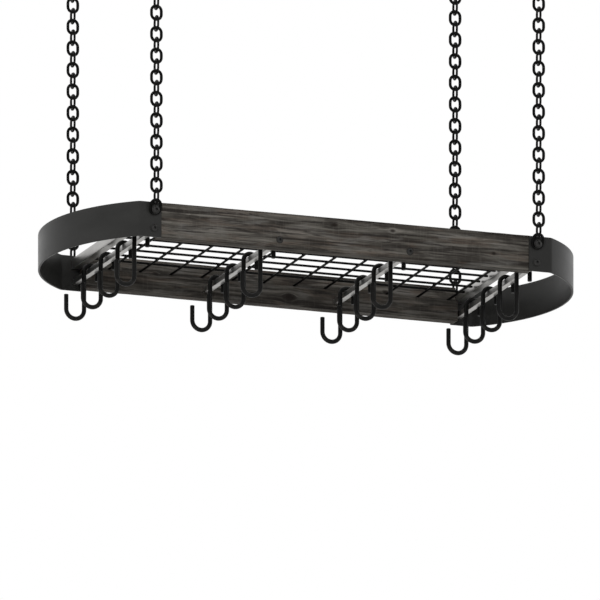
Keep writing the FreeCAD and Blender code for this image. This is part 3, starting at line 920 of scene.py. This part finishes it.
def ceiling_hook_piece(corner, material):
    """A bent rod, a collar and a threaded screw.

    Thread: r = core + depth (1 - |2 f - 1|), where f is the fraction of height / pitch less
    angle / full turn, and the whole tapers to the tip along the point.
    """
    node = "ceiling_hook_" + corner
    low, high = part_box(node)
    side = 1 if high.y > 0 else -1
    x = (low.x + high.x) / 2
    chain_low, chain_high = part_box("chain_" + corner)
    chain_y = max(abs(chain_low.y), abs(chain_high.y)) - link_width / 2
    y = side * chain_y
    radius = screw_rod / 2
    rounding = radius / 2
    half_seat = hook_seat / 2
    bend_z = low.z + radius + screw_bend
    aside = neck_bend - half_seat
    join_angle = math.atan2(-neck_length - bend_z, aside)
    flat = np.concatenate([
        [(0, -collar_thickness / 2)],
        swing((neck_bend, -neck_length), neck_bend, math.pi, math.pi + join_angle),
        swing((half_seat, bend_z), screw_bend, join_angle, -math.pi / 2)[1:],
        swing((-half_seat, bend_z), screw_bend, 1.5 * math.pi, tip_angle),
    ])
    path = np.stack([np.full(len(flat), x), side * (chain_y - flat[:, 0]), flat[:, 1]], axis=1)
    path = finer_ends(path, rounding)
    scale = dome_scale(path, radius, rounding, False, True)
    rod = skin(carry(round_profile(radius, screw_around), path, (1, 0, 0), scale), path[[0, -1]])

    angle = np.linspace(0, 2 * math.pi, screw_around, endpoint=False)
    level = np.linspace(-collar_thickness / 2, high.z, round(high.z / thread_pitch * thread_rows))
    lead = (level[:, None] / thread_pitch - angle[None] / (2 * math.pi)) % 1
    crest = radius - thread_depth * np.abs(2 * lead - 1)
    taper = np.clip((high.z - level) / screw_point, 0, 1)[:, None]
    radii = np.where(level[:, None] < 0, radius, screw_tip + (crest - screw_tip) * taper)
    screw = skin(upright_turned(radii, level, x, y), [(x, y, level[0]), (x, y, level[-1])])

    edge = collar_thickness / 4
    bore = radius / 2
    section = np.array([
        (bore, -collar_thickness),
        (radius, -collar_thickness),
        (collar_radius - 2 * edge, -collar_thickness),
        (collar_radius - edge / 2, -collar_thickness * 0.8),
        (collar_radius, -collar_thickness / 2),
        (collar_radius - edge / 2, -edge / 2),
        (collar_radius - edge, 0),
        (bore, 0),
    ])
    turned = upright_turned(np.repeat(section[:, :1], screw_around, axis=1), section[:, 1], x, y)
    collar = skin(turned, [(x, y, -collar_thickness), (x, y, 0)])
    add_piece(node + "_screw", [rod, screw, collar], material, "ceiling_hooks", [node])


for corner in corners:
    ceiling_hook_piece(corner, chain_finish)


# Pot hooks: sixteen lengths of round rod, each bent to a crown, a shank and a bowl.
# The crown sits over a cross bar and slides along it. Ends are cut square and deburred.
# Black satin coat, rubbed at the crown and in the bowl where pans hang.
hook_rod = 0.0095
crown_radius = 0.01475
bowl_radius = 0.020
hook_tip_height = 0.0565
hook_leg_height = 0.090
hook_cut_round = 0.0012
hook_around = 20
hook_run_step = 0.01
crown_rub_reach = 0.006
bowl_rub_reach = 0.008
hooks_per_bar = 4


def hook_black():
    """Black satin coat with worn, slightly brighter crown and bowl."""
    material, tree, shader = new_material("hook_black")
    place = add_node(tree, "ShaderNodeTexCoord", {}).outputs["Object"]
    rub = add_node(tree, "ShaderNodeAttribute", {}, attribute_name="rub").outputs["Fac"]
    mottle = noise(tree, place, (130, 130, 130), 5, 0.62)
    colour = colour_ramp(tree, mottle, [
        (0.35, paint(6, 6, 6)),
        (0.70, paint(13, 13, 12)),
    ])
    scuffs = add_node(tree, "ShaderNodeMath", {0: rub, 1: mottle}, operation="MULTIPLY").outputs[0]
    rubbed = blend_colours(tree, spread(tree, scuffs, 0.35, 0.65, 0.0, 0.4), colour, paint(52, 51, 49))
    tree.links.new(rubbed, shader.inputs["Base Color"])
    tree.links.new(spread(tree, mottle, 0.3, 0.7, 0.36, 0.50), shader.inputs["Roughness"])
    shader.inputs["Specular IOR Level"].default_value = 0.14
    return material


def run(start, end):
    """Points of a straight run, without its ends."""
    start, end = np.asarray(start), np.asarray(end)
    count = max(2, round(np.linalg.norm(end - start) / hook_run_step))
    return start + np.linspace(0, 1, count + 1)[1:-1, None] * (end - start)


def pot_hook_piece(node, material):
    """A circle carried along leg, crown, shank, bowl and tip, all in one upright plane."""
    low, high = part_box(node)
    radius = hook_rod / 2
    y = (low.y + high.y) / 2
    leg_x = high.x - radius
    crown_x = leg_x - crown_radius
    shank_x = crown_x - crown_radius
    bowl_x = shank_x - bowl_radius
    tip_x = bowl_x - bowl_radius
    crown_z = high.z - radius - crown_radius
    bowl_z = low.z + radius + bowl_radius
    leg_end = (leg_x, low.z + hook_leg_height)
    tip_end = (tip_x, low.z + hook_tip_height)
    flat = np.concatenate([
        [leg_end],
        run(leg_end, (leg_x, crown_z)),
        swing((crown_x, crown_z), crown_radius, 0, math.pi),
        run((shank_x, crown_z), (shank_x, bowl_z)),
        swing((bowl_x, bowl_z), bowl_radius, 0, -math.pi),
        run((tip_x, bowl_z), tip_end),
        [tip_end],
    ])
    path = np.stack([flat[:, 0], np.full(len(flat), y), flat[:, 1]], axis=1)
    path = finer_ends(path, hook_cut_round)
    scale = dome_scale(path, radius, hook_cut_round, True, True)
    rings = carry(round_profile(radius, hook_around), path, (0, 1, 0), scale)
    vertices, quads, fans = skin(rings, path[[0, -1]])
    under_crown = np.exp(-((vertices[:, 2] - crown_z - crown_radius) / crown_rub_reach) ** 2)
    in_bowl = np.exp(-((vertices[:, 2] - low.z - hook_rod) / bowl_rub_reach) ** 2)
    add_piece(node + "_rod", [(vertices, quads, fans)], material, node, [node],
              {"rub": under_crown + in_bowl})


hook_coat = hook_black()
for bar in range(1, cross_bars + 1):
    for place in range(1, hooks_per_bar + 1):
        pot_hook_piece(f"pot_hook_{bar}_{place}", hook_coat)


# Stage: a plain pale floor at a usual room height below the ceiling, soft light, and the camera.
# The floor is clear from below, because the photograph looks up at the rack from under it.
room_height = 2.4
floor_half = 60.0
floor_glow = 0.35
room_light = 0.5


def seen_directly(tree):
    """1 for rays from the camera, a mirror or through glass, and 0 for those that only bring light."""
    rays = add_node(tree, "ShaderNodeLightPath", {}).outputs
    seen = rays["Is Camera Ray"]
    for kind in ("Is Glossy Ray", "Is Transmission Ray"):
        seen = add_node(tree, "ShaderNodeMath", {0: seen, 1: rays[kind]}, operation="MAXIMUM").outputs[0]
    return seen


floor_material, floor_tree, floor_shader = new_material("pale_floor")
floor_shader.inputs["Base Color"].default_value = paint(238, 237, 235)
floor_shader.inputs["Roughness"].default_value = 0.9
floor_shader.inputs["Emission Color"].default_value = (1, 1, 1, 1)
glow = spread(floor_tree, seen_directly(floor_tree), 0.0, 1.0, 0.0, floor_glow)
floor_tree.links.new(glow, floor_shader.inputs["Emission Strength"])
underside = add_node(floor_tree, "ShaderNodeNewGeometry", {}).outputs["Backfacing"]
clear = add_node(floor_tree, "ShaderNodeBsdfTransparent", {}).outputs[0]
floor_sides = {0: underside, 1: floor_shader.outputs[0], 2: clear}
floor_mix = add_node(floor_tree, "ShaderNodeMixShader", floor_sides)
floor_tree.links.new(floor_mix.outputs[0], floor_tree.nodes["Material Output"].inputs["Surface"])
floor_mesh = bpy.data.meshes.new("floor")
floor_corners = np.array([(-1, -1, 0), (1, -1, 0), (1, 1, 0), (-1, 1, 0)]) * floor_half
floor_mesh.from_pydata((floor_corners - (0, 0, room_height)).tolist(), [], [(0, 1, 2, 3)])
floor_mesh.materials.append(floor_material)
floor = bpy.data.objects.new("floor", floor_mesh)
bpy.context.scene.collection.objects.link(floor)

world = bpy.data.worlds.new("white_room")
world.use_nodes = True
bpy.context.scene.world = world
strength = spread(world.node_tree, seen_directly(world.node_tree), 0.0, 1.0, room_light, 1.0)
background = world.node_tree.nodes["Background"]
background.inputs["Color"].default_value = (1, 1, 1, 1)
world.node_tree.links.new(strength, background.inputs["Strength"])

rack_low, rack_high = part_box("end_band_left")
rack_middle = Vector((0, 0, (rack_low.z + rack_high.z) / 2))

# Soft boxes: place from the middle of the rack, edge and power
soft_boxes = {
    "key": ((-1.8, -3.6, 0.4), 0.8, 60.0),
    "side": ((-3.4, -0.6, 0.4), 2.4, 24.0),
    "fill": ((3.4, -1.6, 0.2), 1.6, 5.0),
}
for name, (place, size, power) in soft_boxes.items():
    lamp = bpy.data.lights.new(name, "AREA")
    lamp.size = size
    lamp.energy = power
    box = bpy.data.objects.new(name, lamp)
    box.location = rack_middle + Vector(place)
    box.rotation_euler = (-Vector(place)).to_track_quat("-Z", "Y").to_euler()
    box.visible_camera = False
    box.visible_glossy = False
    bpy.context.scene.collection.objects.link(box)

view_azimuth = math.radians(-19.9)
view_elevation = math.radians(-14.4)
view_distance = 30.0
pixels_per_metre = 473.4
picture_pixels = 600
aim_left = 0.0129
aim_below = 0.0420
aim = Vector((-aim_left, 0.0, rack_low.z - aim_below))
backward = Vector((
    math.sin(view_azimuth) * math.cos(view_elevation),
    -math.cos(view_azimuth) * math.cos(view_elevation),
    math.sin(view_elevation),
))
lens = bpy.data.cameras.new("camera")
lens.type = "ORTHO"
lens.ortho_scale = picture_pixels / pixels_per_metre
camera = bpy.data.objects.new("camera", lens)
camera.location = aim + view_distance * backward
camera.rotation_euler = (-backward).to_track_quat("-Z", "Y").to_euler()
bpy.context.scene.collection.objects.link(camera)
bpy.context.scene.camera = camera
bpy.context.scene.view_settings.view_transform = "Standard"
